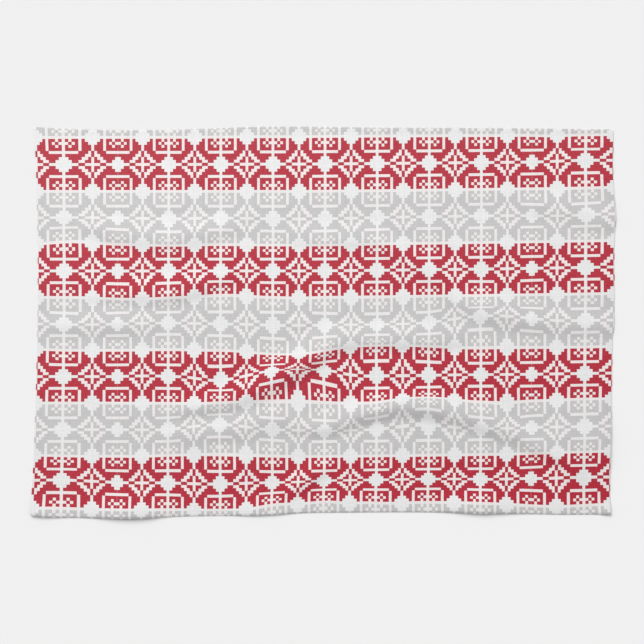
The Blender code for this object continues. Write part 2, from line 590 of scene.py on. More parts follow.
class ClothFinish(bpy.types.PropertyGroup):
    """The colours of the inks and the cloth, and the weave."""

    red: FloatVectorProperty(
        name="Red ink",
        description="Colour of the red bands",
        default=(0.480, 0.0205, 0.0435, 1.0),
        **COLOUR,
    )
    grey: FloatVectorProperty(
        name="Grey ink",
        description="Colour of the rings in the grey bands",
        default=(0.587, 0.581, 0.582, 1.0),
        **COLOUR,
    )
    warm_grey: FloatVectorProperty(
        name="Warm grey ink",
        description="Colour of the stars and boxes in the grey bands",
        default=(0.594, 0.576, 0.578, 1.0),
        **COLOUR,
    )
    cotton: FloatVectorProperty(
        name="White cotton",
        description="Colour of the bare cloth",
        default=(0.855, 0.851, 0.852, 1.0),
        **COLOUR,
    )
    blush: FloatVectorProperty(
        name="Pale blush",
        description="Colour of the thin pale lines and boxes of the print",
        default=(0.862, 0.834, 0.836, 1.0),
        **COLOUR,
    )
    red_blush: FloatVectorProperty(
        name="Blush in the red bands",
        description="Colour of the thin pale lines in the red bands, which have taken up a little red",
        default=(0.90, 0.825, 0.815, 1.0),
        **COLOUR,
    )
    thread_pitch: FloatProperty(
        name="Thread pitch",
        description="Distance from one thread to the next",
        default=0.55 * MM,
        precision=5,
        unit="LENGTH",
    )
    thread_relief: FloatProperty(
        name="Thread relief",
        description="How far the threads stand out from the gaps between them",
        default=0.07 * MM,
        precision=6,
        unit="LENGTH",
    )
    # Painted sheen: the inks are thinned towards the upper left corner, so that it looks lighter there
    painted_sheen: FloatProperty(
        name="Painted sheen",
        description="How much painted sheen lightens the inks towards the upper left corner",
        default=0.034,
        subtype="FACTOR",
    )
    show_through: FloatProperty(
        name="Show-through",
        description="How much of the print shows on the reverse",
        default=0.14,
        subtype="FACTOR",
    )


class StageSettings(bpy.types.PropertyGroup):
    """The plain floor, the soft light and the camera."""

    floor_colour: FloatVectorProperty(
        name="Floor colour",
        description="Colour of the pale floor",
        default=(0.849, 0.849, 0.849, 1.0),
        **COLOUR,
    )
    floor_size: FloatProperty(
        name="Floor size",
        description="Side of the square floor",
        default=30.0,
        unit="LENGTH",
    )
    key_strength: FloatProperty(
        name="Key light",
        description="Strength of the broad light at the towel's middle",
        default=2.02,
    )
    key_elevation: FloatProperty(
        name="Key elevation",
        description="Height of the key light over the floor",
        default=np.radians(53.0),
        subtype="ANGLE",
    )
    key_turn: FloatProperty(
        name="Key turn",
        description="How far the key light stands to the left of the top edge",
        default=np.radians(24.0),
        subtype="ANGLE",
    )
    key_distance: FloatProperty(
        name="Key distance",
        description="Distance of the key light from the towel's middle",
        default=2.5,
        unit="LENGTH",
    )
    key_size: FloatProperty(
        name="Key size",
        description="Width of the round key light",
        default=1.75,
        unit="LENGTH",
    )
    sky_strength: FloatProperty(
        name="Room light",
        description="Strength of the even light from the whole room",
        default=0.515,
    )
    lens: FloatProperty(
        name="Lens",
        description="The camera's focal length in millimetres",
        default=100.0,
    )
    view_width: FloatProperty(
        name="View width",
        description="Width of the floor that the camera sees",
        default=0.6727,
        unit="LENGTH",
    )


def columns_of(kind, rows, unit=MM):
    """A table's columns as arrays under their names, by default from millimetres to metres."""
    return kind(*np.array(rows, float).T * unit)


def smooth_through(places, values, at):
    """A cubic Hermite curve through the values, with centred slopes. Past its ends it stays level."""
    slopes = np.gradient(values, places)
    start = np.clip(np.searchsorted(places, at) - 1, 0, len(places) - 2)
    span = places[start + 1] - places[start]
    t = np.clip((at - places[start]) / span, 0.0, 1.0)
    rise = t * t * (3.0 - 2.0 * t)
    leave = t * (1.0 - t) ** 2
    arrive = t * t * (t - 1.0)
    return (
        values[start] * (1.0 - rise)
        + values[start + 1] * rise
        + span * (leave * slopes[start] + arrive * slopes[start + 1])
    )


def smooth_step(low, high, at):
    """0 below low, 1 above high, and 3t² - 2t³ between them."""
    t = np.clip((at - low) / (high - low), 0.0, 1.0)
    return t * t * (3.0 - 2.0 * t)


def edge_reach(edge, along):
    """How far out an edge reaches at each place along it."""
    points = columns_of(EdgePoint, edge)
    return smooth_through(points.along, points.out, along)


def edges_beside(x, y):
    """How far out the left, right, bottom and top edges reach beside each place."""
    left, right = (edge_reach(edge, y) for edge in (LEFT_EDGE, RIGHT_EDGE))
    bottom, top = (edge_reach(edge, x) for edge in (BOTTOM_EDGE, TOP_EDGE))
    return left, right, bottom, top


def bell(share):
    """1 at the middle, 0 at a share of 1 and past it, and half a cosine wave between them."""
    return 0.5 + 0.5 * np.cos(np.pi * np.minimum(np.abs(share), 1.0))


def fold_height(fold, x, y):
    """A fold's height over the flat cloth: a bell from its crest to each foot."""
    crest = columns_of(Crest, fold.crest)
    crest_y = smooth_through(crest.x, crest.y, x)
    height = np.maximum(smooth_through(crest.x, crest.height, x), 0.0)
    slant = np.interp(x, crest.x, np.gradient(crest.y, crest.x))
    away = (y - crest_y) / np.sqrt(1.0 + slant * slant)
    foot = np.where(away > 0.0, fold.foot_above, fold.foot_below) * MM
    foot = foot * (FOOT_SHARE + (1.0 - FOOT_SHARE) * height / crest.height.max())
    reached = (x >= crest.x[0]) & (x <= crest.x[-1])
    return np.where(reached, height * bell(away / foot), 0.0)


def shallow_waves(x, y, height):
    """Seeded plane waves added up, the longer ones higher. Their crests run mostly along the towel."""
    random = np.random.default_rng(WAVE_SEED)
    length = random.uniform(WAVE_SHORTEST, WAVE_LONGEST, WAVE_COUNT)
    heading = np.pi / 2.0 + random.normal(0.0, WAVE_SPREAD, WAVE_COUNT)
    phase = random.uniform(0.0, 2.0 * np.pi, WAVE_COUNT)
    share = length / np.sqrt((length**2).sum())
    turns = (x[..., None] * np.cos(heading) + y[..., None] * np.sin(heading)) / length
    waves = (share * np.sin(2.0 * np.pi * turns + phase)).sum(axis=-1)
    return height * np.clip(1.0 + waves, 0.0, None)


def grid_lines(length, cells):
    """Distances of the grid's lines from one side: close together near both sides, even between them."""
    near = np.array(EDGE_LINES, float) * MM
    even = np.linspace(near[-1], length - near[-1], cells + 1)
    return np.concatenate((near[:-1], even, length - near[-2::-1]))


def rounded_corners(from_side, from_end):
    """How far a corner point moves in from each side, and its distance from the rounded edge.

    The corner's square is mapped to a quarter disc, with each side shortened as the other grows.
    """
    p = np.clip(CORNER_RADIUS - from_side, 0.0, None)
    q = np.clip(CORNER_RADIUS - from_end, 0.0, None)
    disc_p = p * np.sqrt(1.0 - q * q / (2.0 * CORNER_RADIUS**2))
    disc_q = q * np.sqrt(1.0 - p * p / (2.0 * CORNER_RADIUS**2))
    in_corner = (p > 0.0) & (q > 0.0)
    straight = np.minimum(from_side, from_end)
    distance = np.where(in_corner, CORNER_RADIUS - np.hypot(disc_p, disc_q), straight)
    return p - disc_p, q - disc_q, np.maximum(distance, 0.0)


def cloth_top(distance, hem, sizes):
    """Height of the cloth's face by distance from the edge: it eases from the hem's to the cloth's."""
    eased = smooth_step(sizes.hem_width - HEM_EASE / 2, sizes.hem_width + HEM_EASE, distance)
    return hem + (sizes.thickness - hem) * eased


def cloth_under(distance, over, sizes):
    """Height of the cloth's underside: the turned hem rests, and past it one thickness is left."""
    past_hem = smooth_step(sizes.hem_width, sizes.hem_width + HEM_STEP, distance)
    return past_hem * (over - sizes.thickness)


def rounded_rim(distance, lower):
    """How far the cloth's two sides have parted at each distance from the edge, and how high up they meet.

    They part along a quarter ellipse. Along the lower hem it is deeper, and they meet lower down.
    """
    depth = RIM_DEPTH + (LOWER_RIM_DEPTH - RIM_DEPTH) * lower
    inward = np.clip(1.0 - distance / depth, 0.0, 1.0)
    return np.sqrt(1.0 - inward * inward), RIM_MEETS + (LOWER_RIM_MEETS - RIM_MEETS) * lower


def print_lift(x, y):
    """How far up the print lies at each place: a rise to the right, and a sum of soft bumps.

    A bump is a bell along the towel times a bell across it.
    """
    share = np.clip((x - ROW_RISE_START) / (ROW_RISE_END - ROW_RISE_START), 0.0, None)
    lift = ROW_RISE * share**ROW_RISE_POWER
    for row in chain.from_iterable(PRINT_SHIFTS.values()):
        shift = PrintShift(*row)
        along = (x / MM - shift.x) / shift.half_length
        away = y / MM - shift.y
        across = away / np.where(away > 0.0, shift.above, shift.below)
        lift = lift + shift.up * MM * bell(along) * bell(across)
    return lift


def print_place(x, y):
    """The chart's column and row printed at each place, as seen from above.

    The columns follow the side edges, less and less further in, and lean to the left lower down. Where the
    folds carry the print up, they carry it a little to the left as well.
    """
    lift = print_lift(x, y)
    left = edge_reach(LEFT_EDGE, y)
    right = edge_reach(RIGHT_EDGE, y)
    columns = columns_of(ChartColumn, CHART_COLUMNS, 1.0)
    across = columns.x * MM
    first, last = across[1], across[-2]
    near_left = LEFT_PULL * np.clip(1.0 - (x - left) / LEFT_FADE, 0.0, 1.0)
    near_right = RIGHT_PULL * np.clip(1.0 - (right - x) / RIGHT_FADE, 0.0, 1.0)
    straight_x = x - (left - first) * near_left - (right - last) * near_right
    straight_x = straight_x - COLUMN_LEAN * y + SIDEWAYS_SHARE * lift
    column = np.interp(straight_x, across, columns.column)
    row = (y - lift - MIDDLE_ROW_Y) / ROW_PITCH
    return column, row


def cloth_surface(sizes):
    """The cloth's face and underside as two grids of points, with the distances from the sides.

    Each point lies at its shares of the way between the side edges and between the lower and upper ones.
    Its height adds up the folds, the shallow waves and the hem's profile. In the rim the face comes down
    and the underside comes up until they meet, along the ellipse of rounded_rim.
    """
    start_x, *_, end_x = columns_of(EdgePoint, BOTTOM_EDGE).along
    start_y, *_, end_y = columns_of(EdgePoint, LEFT_EDGE).along
    length = end_x - start_x
    width = end_y - start_y
    line_x = grid_lines(length, sizes.columns)
    line_y = grid_lines(width, sizes.rows)
    along, up = np.meshgrid(line_x, line_y, indexing="ij")
    from_side = np.minimum(along, length - along)
    from_end = np.minimum(up, width - up)
    move_x, move_y, distance = rounded_corners(from_side, from_end)
    along = along + np.where(along < length / 2, move_x, -move_x)
    up = up + np.where(up < width / 2, move_y, -move_y)

    left, right, bottom, top = edges_beside(start_x + along, start_y + up)
    x = left + (right - left) * along / length
    y = bottom + (top - bottom) * up / width

    ground = sum(fold_height(fold, x, y) for fold in FOLDS)
    waves = shallow_waves(x, y, sizes.wave_height) * smooth_step(0.0, WAVE_FADE, distance)
    ground = ground + waves + REST_CLEARANCE
    lower = 1.0 - smooth_step(*LOWER_HEM_FADE, up)
    hem = sizes.hem_thickness + (sizes.lower_hem_thickness - sizes.hem_thickness) * lower
    over = cloth_top(distance, hem, sizes)
    under = cloth_under(distance, over, sizes)
    parted, meeting = rounded_rim(distance, lower)
    above = (over - under) * (meeting + (1.0 - meeting) * parted)
    below = (over - under) * meeting * (1.0 - parted)
    face = np.stack((x, y, ground + under + above), axis=-1)
    underside = np.stack((x, y, ground + under + below), axis=-1)
    return face, underside, from_side, from_end


def turned_over(points):
    """Places on the turned hem, as if it were laid open: each is mirrored over its nearest edge."""
    x = points[..., 0]
    y = points[..., 1]
    left, right, bottom, top = edges_beside(x, y)
    side = np.where(x < 0.0, left, right)
    end = np.where(y < 0.0, bottom, top)
    side_nearer = np.abs(x - side) < np.abs(y - end)
    open_x = np.where(side_nearer, 2.0 * side - x, x)
    open_y = np.where(side_nearer, y, 2.0 * end - y)
    return open_x, open_y


def lengths_along(points):
    """How far each point is along its own row and column of the grid, measured over the folds."""
    steps_x = np.linalg.norm(np.diff(points, axis=0), axis=-1)
    steps_y = np.linalg.norm(np.diff(points, axis=1), axis=-1)
    over_x = np.pad(np.cumsum(steps_x, axis=0), ((1, 0), (0, 0)))
    over_y = np.pad(np.cumsum(steps_y, axis=1), ((0, 0), (1, 0)))
    return over_x, over_y


def bake_place(points, low, high):
    """Each point's place in the baked picture: its shares of the grid's length and of its width."""
    over_x, over_y = lengths_along(points)
    share_x = over_x / over_x[-1:]
    share_y = over_y / over_y[:, -1:]
    return BAKE_MARGIN + (1.0 - 2.0 * BAKE_MARGIN) * share_x, low + (high - low) * share_y


def cell_corners(grid, face_up):
    """A grid's values at each cell's four corners, counted so that the cell faces up or down."""
    corners = (grid[:-1, :-1], grid[1:, :-1], grid[1:, 1:], grid[:-1, 1:])
    if not face_up:
        corners = corners[::-1]
    return np.stack(corners, axis=-1).reshape(-1, 4)


def both_sides(on_face, on_under):
    """Two grids' values at every cell's corners: the face's cells, then the underside's."""
    return np.concatenate((cell_corners(on_face, True), cell_corners(on_under, False)))


def add_map(mesh, name, over, up):
    """A UV map from its two values at every corner of every face."""
    layer = mesh.uv_layers.new(name=name)
    layer.data.foreach_set("uv", np.stack((over, up), axis=-1).ravel())


def make_cloth(sizes):
    """One closed mesh: the printed face, the underside and the rim that they share."""
    face, underside, from_side, from_end = cloth_surface(sizes)
    columns, rows = face.shape[:2]
    face_numbers = np.arange(columns * rows).reshape(columns, rows)
    under_numbers = face_numbers.copy()
    inner = (columns - 2) * (rows - 2)
    under_numbers[1:-1, 1:-1] = np.arange(inner).reshape(columns - 2, rows - 2) + columns * rows
    points = np.concatenate((face.reshape(-1, 3), underside[1:-1, 1:-1].reshape(-1, 3)))
    mesh = bpy.data.meshes.new("towel_cotton")
    mesh.from_pydata(points.tolist(), [], both_sides(face_numbers, under_numbers).tolist())

    distance = np.minimum(from_side, from_end)
    beside = np.maximum(from_side, from_end)
    on_hem = cell_corners(distance, False).mean(axis=1) < sizes.hem_width
    reverse = np.concatenate((np.zeros(len(on_hem), bool), ~on_hem))

    face_print = print_place(face[..., 0], face[..., 1])
    hem_print = print_place(*turned_over(underside))
    under_print = print_place(underside[..., 0], underside[..., 1])
    print_map = []
    for on_face, on_turned, on_under in zip(face_print, hem_print, under_print):
        below = np.where(on_hem[:, None], cell_corners(on_turned, False), cell_corners(on_under, False))
        print_map.append(np.concatenate((cell_corners(on_face, True), below)))
    add_map(mesh, "print", *print_map)
    add_map(mesh, "threads", *(both_sides(values, values) for values in lengths_along(face)))
    add_map(mesh, "hem", *(both_sides(values, values) for values in (beside, distance)))

    face_bake = bake_place(face, BAKE_SPLIT + BAKE_MARGIN, 1.0 - BAKE_MARGIN)
    under_bake = bake_place(underside, BAKE_MARGIN, BAKE_SPLIT - BAKE_MARGIN)
    add_map(mesh, "OFBake", *map(both_sides, face_bake, under_bake))

    mesh.polygons.foreach_set("material_index", reverse.astype(np.int32))
    mesh.shade_smooth()
    mesh.update()
    mesh.validate()
    return mesh


def add_node(tree, kind):
    """Adds a node beside the last one, or at the start of the next row."""
    row, place = divmod(len(tree.nodes), NODES_IN_ROW)
    node = tree.nodes.new(kind)
    node.location = (place * NODE_STEP[0], row * NODE_STEP[1])
    return node


def put(tree, socket, value):
    """Links another node's socket to an input, or sets a constant there."""
    if isinstance(value, bpy.types.NodeSocket):
        tree.links.new(value, socket)
    else:
        socket.default_value = value


def calc(tree, operation, *values):
    """A Math node."""
    node = add_node(tree, "ShaderNodeMath")
    node.operation = operation
    for socket, value in zip(node.inputs, values):
        put(tree, socket, value)
    return node.outputs[0]


def mixed(tree, share, first, second):
    """A colour between two others."""
    node = add_node(tree, "ShaderNodeMix")
    node.data_type = "RGBA"
    for name, value in (("Factor_Float", share), ("A_Color", first), ("B_Color", second)):
        put(tree, next(s for s in node.inputs if s.identifier == name), value)
    return next(s for s in node.outputs if s.identifier == "Result_Color")


def blended(tree, share, first, second):
    """A number between two others."""
    return calc(tree, "MULTIPLY_ADD", share, calc(tree, "SUBTRACT", second, first), first)


def varied(tree, base, value, strength):
    """A base, with a value's difference from a half added as strongly as given."""
    return calc(tree, "MULTIPLY_ADD", calc(tree, "SUBTRACT", value, 0.5), strength, base)


def swelled(tree, turns):
    """The size of a sine wave that goes through half a turn for every whole number."""
    return calc(tree, "ABSOLUTE", calc(tree, "SINE", calc(tree, "MULTIPLY", turns, float(np.pi))))


def vector(tree, x, y):
    """A vector from two numbers."""
    node = add_node(tree, "ShaderNodeCombineXYZ")
    put(tree, node.inputs["X"], x)
    put(tree, node.inputs["Y"], y)
    return node.outputs[0]


def split(tree, value):
    """A vector's x and y."""
    node = add_node(tree, "ShaderNodeSeparateXYZ")
    put(tree, node.inputs[0], value)
    return node.outputs[0], node.outputs[1]


def noise(tree, place, scale, detail=2.0):
    """Noise about 0.5, read from a vector."""
    node = add_node(tree, "ShaderNodeTexNoise")
    node.noise_dimensions = "2D"
    for name, value in (("Vector", place), ("Scale", scale), ("Detail", detail)):
        put(tree, node.inputs[name], value)
    return node.outputs[0]


def random_value(tree, number):
    """A random value from 0 to 1 for each whole number."""
    node = add_node(tree, "ShaderNodeTexWhiteNoise")
    node.noise_dimensions = "1D"
    put(tree, node.inputs["W"], number)
    return node.outputs["Value"]


def new_group(name, inputs, outputs):
    """A shader node group with named sockets. Returns its tree, what comes in and what goes out."""
    tree = bpy.data.node_groups.new(name, "ShaderNodeTree")
    for label, kind, default in inputs:
        socket = tree.interface.new_socket(label, in_out="INPUT", socket_type=SOCKETS[kind])
        if default is not None:
            socket.default_value = default
    for label, kind in outputs:
        tree.interface.new_socket(label, in_out="OUTPUT", socket_type=SOCKETS[kind])
    entry = add_node(tree, "NodeGroupInput")
    return tree, entry.outputs, add_node(tree, "NodeGroupOutput").inputs


def use_group(tree, group, **values):
    """A group placed in a material, with sockets or constants for its inputs."""
    node = add_node(tree, "ShaderNodeGroup")
    node.node_tree = group
    for name, value in values.items():
        put(tree, node.inputs[name.replace("_", " ").capitalize()], value)
    return node.outputs


def thread_height(tree, across, along):
    """A thread's height: rounded across it, and half as high where it dips along it."""
    return calc(tree, "MULTIPLY", calc(tree, "SQRT", across), calc(tree, "MULTIPLY_ADD", along, 0.5, 0.5))


def thread_tone(tree, whole, x, y):
    """A thread's tone: half a random value of its own, and half the slubs along it."""
    slub = noise(tree, vector(tree, x, y), SLUB_SCALE, 1.0)
    return calc(tree, "MULTIPLY_ADD", random_value(tree, whole), 0.5, calc(tree, "MULTIPLY", slub, 0.5))


def weave_group():
    """Plain weave: threads cross over and under by turns, each a little uneven in tone.

    Threads are counted along and across the towel, and wander a little. Height and tone are those of the
    thread on top, which is the upright one where the two counts add up to an odd number.
    """
    tree, given, result = new_group(
        "Cotton weave",
        [("Place", "vector", None), ("Thread pitch", "number", 0.00055), ("Wander", "number", 0.25)],
        [("Height", "number"), ("Tone", "number")],
    )
    counts = []
    for distance, scale in zip(split(tree, given["Place"]), WANDER_SCALES):
        count = calc(tree, "DIVIDE", distance, given["Thread pitch"])
        counts.append(varied(tree, count, noise(tree, given["Place"], scale), given["Wander"]))
    whole_x, whole_y = (calc(tree, "FLOOR", count) for count in counts)
    upright_on_top = calc(tree, "PINGPONG", calc(tree, "ADD", whole_x, whole_y), 1.0)

    swell_x, swell_y = (swelled(tree, count) for count in counts)
    upright = thread_height(tree, swell_x, swell_y)
    level = thread_height(tree, swell_y, swell_x)
    put(tree, result["Height"], blended(tree, upright_on_top, level, upright))

    slow_x, slow_y = (calc(tree, "MULTIPLY", count, SLUB_STRETCH) for count in counts)
    upright = thread_tone(tree, whole_x, whole_x, slow_y)
    level = thread_tone(tree, whole_y, slow_x, whole_y)
    put(tree, result["Tone"], blended(tree, upright_on_top, level, upright))
    return tree


def row_code(row_text):
    """A chart row as one whole number: each printed column adds its power of two."""
    return sum(2**column for column, mark in enumerate(row_text) if mark == "#")


def chart_column(tree, x):
    """The chart's column at a place along the band. It folds back on itself every half repeat.

    At each join it leaves out one column, the middle one of a medallion.
    """
    first, second = JOIN_COLUMNS
    past_first = calc(tree, "GREATER_THAN", x, first)
    past_both = calc(tree, "ADD", past_first, calc(tree, "GREATER_THAN", x, second))
    medallion = calc(tree, "ADD", calc(tree, "SUBTRACT", x, first + 0.5), past_both)
    return calc(tree, "ROUND", calc(tree, "PINGPONG", medallion, float(HALF_REPEAT)))


def chart_row(tree, y):
    """The chart's row at a place across the bands. It folds back on itself every half repeat."""
    return calc(tree, "ROUND", calc(tree, "PINGPONG", y, float(HALF_REPEAT)))


def chart_code(tree, row):
    """A row's code: the sum over the chart's rows of each one's code where the row is that one."""
    code = 0.0
    for number, row_text in enumerate(reversed(CHART)):
        this_row = calc(tree, "COMPARE", row, float(number), 0.5)
        code = calc(tree, "MULTIPLY_ADD", this_row, float(row_code(row_text)), code)
    return code


def chart_group():
    """The printed chart: its colour and where there is red ink, at a column and row of the chart.

    The column's power of two picks the cell out of its row's code. The ink has spread a little: a place is
    printed where any corner of a small square round it falls in a printed cell.
    """
    tree, given, result = new_group(
        "Printed chart",
        [
            ("Place", "vector", None),
            ("Red", "colour", None),
            ("Grey", "colour", None),
            ("Warm grey", "colour", None),
            ("Cotton", "colour", None),
            ("Blush", "colour", None),
            ("Red blush", "colour", None),
            ("Ragged", "number", FACE_RAGGED),
            ("Spread", "number", 0.035),
        ],
        [("Colour", "colour"), ("Red cover", "number")],
    )
    straight_x, straight_y = split(tree, given["Place"])
    rough_x = noise(tree, given["Place"], RAGGED_SCALE)
    rough_y = noise(tree, vector(tree, straight_y, straight_x), RAGGED_SCALE)
    x = varied(tree, straight_x, rough_x, given["Ragged"])
    y = varied(tree, straight_y, rough_y, given["Ragged"])

    sides = ("SUBTRACT", "ADD")
    columns = [chart_column(tree, calc(tree, side, x, given["Spread"])) for side in sides]
    rows = [chart_row(tree, calc(tree, side, y, given["Spread"])) for side in sides]
    codes = [chart_code(tree, near_row) for near_row in rows]
    printed = 0.0
    for near_column in columns:
        power = calc(tree, "POWER", 2.0, near_column)
        for near_code in codes:
            shifted = calc(tree, "FLOOR", calc(tree, "DIVIDE", near_code, power))
            printed = calc(tree, "MAXIMUM", calc(tree, "MODULO", shifted, 2.0), printed)

    column = chart_column(tree, x)
    row = chart_row(tree, y)
    band = calc(tree, "ROUND", calc(tree, "DIVIDE", y, float(REPEAT)))
    in_red = calc(tree, "PINGPONG", band, 1.0)
    outer = calc(tree, "GREATER_THAN", column, STAR_COLUMN - 0.5)
    inner = calc(tree, "LESS_THAN", column, STAR_COLUMN - 0.5)
    in_star = calc(tree, "MULTIPLY", outer, calc(tree, "LESS_THAN", row, STAR_ROW + 0.5))
    in_box = calc(tree, "MULTIPLY", inner, calc(tree, "GREATER_THAN", row, BOX_ROW - 0.5))
    warm = calc(tree, "MAXIMUM", in_star, in_box)
    grey = mixed(tree, warm, given["Grey"], given["Warm grey"])
    ink_colour = mixed(tree, in_red, grey, given["Red"])

    at_first, at_second = (calc(tree, "COMPARE", x, join, JOIN_HALF_WIDTH) for join in JOIN_COLUMNS)
    at_join = calc(tree, "MAXIMUM", at_first, at_second)
    cover = calc(tree, "MULTIPLY_ADD", at_join, -JOIN_THINNING, 1.0)
    ink = calc(tree, "MULTIPLY", printed, cover)
    both = calc(tree, "ADD", column, row)
    from_middle = calc(tree, "ABSOLUTE", calc(tree, "SUBTRACT", both, float(HALF_REPEAT)))
    in_white = calc(tree, "GREATER_THAN", from_middle, WHITE_START)
    pale = mixed(tree, in_red, given["Blush"], given["Red blush"])
    ground = mixed(tree, in_white, pale, given["Cotton"])
    colour = mixed(tree, ink, ground, ink_colour)
    put(tree, result["Colour"], colour)
    put(tree, result["Red cover"], calc(tree, "MULTIPLY", ink, in_red))
    return tree


def hem_group():
    """The turned hem: its stitches, short dents in a line beside the edge, and how near the edge is.

    A stitch is a straight slope to both sides of the line, times the root of half a sine wave along it.
    """
    tree, given, result = new_group(
        "Turned hem",
        [
            ("Place", "vector", None),
            ("Inset", "number", 0.0048),
            ("Stitch length", "number", 0.0030),
            ("Thread width", "number", 0.0005),
            ("Hem end", "number", 0.012),
            ("Hem fade", "number", 0.010),
        ],
        [("Stitch", "number"), ("Nearness", "number")],
    )
    along, distance = split(tree, given["Place"])
    across = calc(tree, "DIVIDE", calc(tree, "SUBTRACT", distance, given["Inset"]), given["Thread width"])
    in_line = calc(tree, "SUBTRACT", 1.0, calc(tree, "MINIMUM", calc(tree, "ABSOLUTE", across), 1.0))
    swell = swelled(tree, calc(tree, "DIVIDE", along, given["Stitch length"]))
    put(tree, result["Stitch"], calc(tree, "MULTIPLY", in_line, calc(tree, "SQRT", swell)))
    nearness = calc(tree, "DIVIDE", calc(tree, "SUBTRACT", given["Hem end"], distance), given["Hem fade"])
    nearness.node.use_clamp = True
    put(tree, result["Nearness"], nearness)
    return tree


def uv_place(tree, name):
    """A UV map of the cloth."""
    node = add_node(tree, "ShaderNodeUVMap")
    node.uv_map = name
    return node.outputs[0]


def cotton_material(name, finish, groups, print_share, ragged):
    """Matte woven cotton, on which the print shows by print_share, its outlines as rough as ragged."""
    weave_tree, chart_tree, hem_tree = groups
    material = bpy.data.materials.new(name)
    material.use_nodes = True
    tree = material.node_tree
    shader = tree.nodes["Principled BSDF"]
    shader.location = ((NODES_IN_ROW + 1) * NODE_STEP[0], 0.0)
    tree.nodes["Material Output"].location = ((NODES_IN_ROW + 3) * NODE_STEP[0], 0.0)

    weave = use_group(tree, weave_tree, place=uv_place(tree, "threads"), thread_pitch=finish.thread_pitch)
    chart = use_group(
        tree,
        chart_tree,
        place=uv_place(tree, "print"),
        red=finish.red,
        grey=finish.grey,
        warm_grey=finish.warm_grey,
        cotton=finish.cotton,
        blush=finish.blush,
        red_blush=finish.red_blush,
        ragged=ragged,
    )
    hem = use_group(tree, hem_tree, place=uv_place(tree, "hem"))

    object_place = add_node(tree, "ShaderNodeTexCoord").outputs["Object"]
    mottle = noise(tree, object_place, MOTTLE_SCALE)
    drift = noise(tree, object_place, DRIFT_SCALE)
    gap = calc(tree, "SUBTRACT", 1.0, weave["Height"])
    uncovered = calc(tree, "MULTIPLY_ADD", mottle, MOTTLE_LOSS, calc(tree, "MULTIPLY", gap, GAP_LOSS))
    cover = calc(tree, "MULTIPLY", calc(tree, "SUBTRACT", FULL_COVER, uncovered), print_share)
    # Painted sheen: less ink towards the upper left corner, so that the cloth looks lighter there
    x, y = split(tree, object_place)
    across = calc(tree, "MULTIPLY_ADD", x, PAINTED_SHEEN_PER_METRE_RIGHT, PAINTED_SHEEN_AT_MIDDLE)
    sheen_share = calc(tree, "MULTIPLY_ADD", y, PAINTED_SHEEN_PER_METRE_UP, across)
    sheen_share.node.use_clamp = True
    cover_under_sheen = calc(tree, "MULTIPLY_ADD", sheen_share, -finish.painted_sheen, 1.0)
    cover = calc(tree, "MULTIPLY", calc(tree, "MINIMUM", cover, 1.0), cover_under_sheen)
    inked = mixed(tree, cover, tuple(finish.cotton), chart["Colour"])

    tone = varied(tree, 1.0, mottle, calc(tree, "MULTIPLY_ADD", chart["Red cover"], RED_GRAIN, GRAIN))
    tone = varied(tree, tone, weave["Tone"], THREAD_TONE)
    tone = varied(tree, tone, drift, DRIFT_TONE)
    # Painted shade in the stitches' dents and along the hem strip by the edge
    tone = calc(tree, "MULTIPLY_ADD", hem["Stitch"], -STITCH_SHADE, tone)
    tone = calc(tree, "MULTIPLY_ADD", hem["Nearness"], -EDGE_SHADE, tone)
    toned = add_node(tree, "ShaderNodeVectorMath")
    toned.operation = "SCALE"
    put(tree, toned.inputs[0], inked)
    put(tree, toned.inputs["Scale"], tone)
    put(tree, shader.inputs["Base Color"], toned.outputs[0])

    smoother = THREAD_ROUGHNESS - GAP_ROUGHNESS
    roughness = calc(tree, "MULTIPLY_ADD", weave["Height"], smoother, GAP_ROUGHNESS)
    put(tree, shader.inputs["Roughness"], roughness)
    shader.inputs["Specular IOR Level"].default_value = 0.35
    shader.inputs["Sheen Weight"].default_value = 0.06
    shader.inputs["Sheen Roughness"].default_value = 0.5

    relief = calc(tree, "MULTIPLY", weave["Height"], finish.thread_relief)
    bump = add_node(tree, "ShaderNodeBump")
    bump.inputs["Distance"].default_value = 1.0
    put(tree, bump.inputs["Height"], calc(tree, "MULTIPLY_ADD", hem["Stitch"], -STITCH_DEPTH, relief))
    put(tree, shader.inputs["Normal"], bump.outputs["Normal"])
    return material


def floor_material(settings):
    """The pale floor, quite matte."""
    material = bpy.data.materials.new("pale_floor")
    material.use_nodes = True
    shader = material.node_tree.nodes["Principled BSDF"]
    shader.inputs["Base Color"].default_value = settings.floor_colour
    shader.inputs["Roughness"].default_value = 1.0
    shader.inputs["Specular IOR Level"].default_value = 0.0
    return material


class TOWEL_OT_cloth(bpy.types.Operator):
    """Make the towel's thin printed cloth in place of its plain solid"""

    bl_idname = "towel.cloth"
    bl_label = "Make the cloth"

    def execute(self, context):
        sizes = context.scene.towel_sizes
        finish = context.scene.towel_finish
        if min(sizes.hem_thickness, sizes.lower_hem_thickness) < sizes.thickness:
            raise ValueError("the hem can't be thinner than its cloth")
        cloth = bpy.data.objects.new("towel_cotton", make_cloth(sizes))
        context.scene.collection.objects.link(cloth)
        groups = (weave_group(), chart_group(), hem_group())
        for name, print_share, ragged in (
            ("printed_cotton_face", 1.0, FACE_RAGGED),
            ("plain_cotton_reverse", finish.show_through, REVERSE_RAGGED),
        ):
            cloth.data.materials.append(cotton_material(name, finish, groups, print_share, ragged))
        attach(cloth, "root")
        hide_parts("towel_cloth")
        return {"FINISHED"}


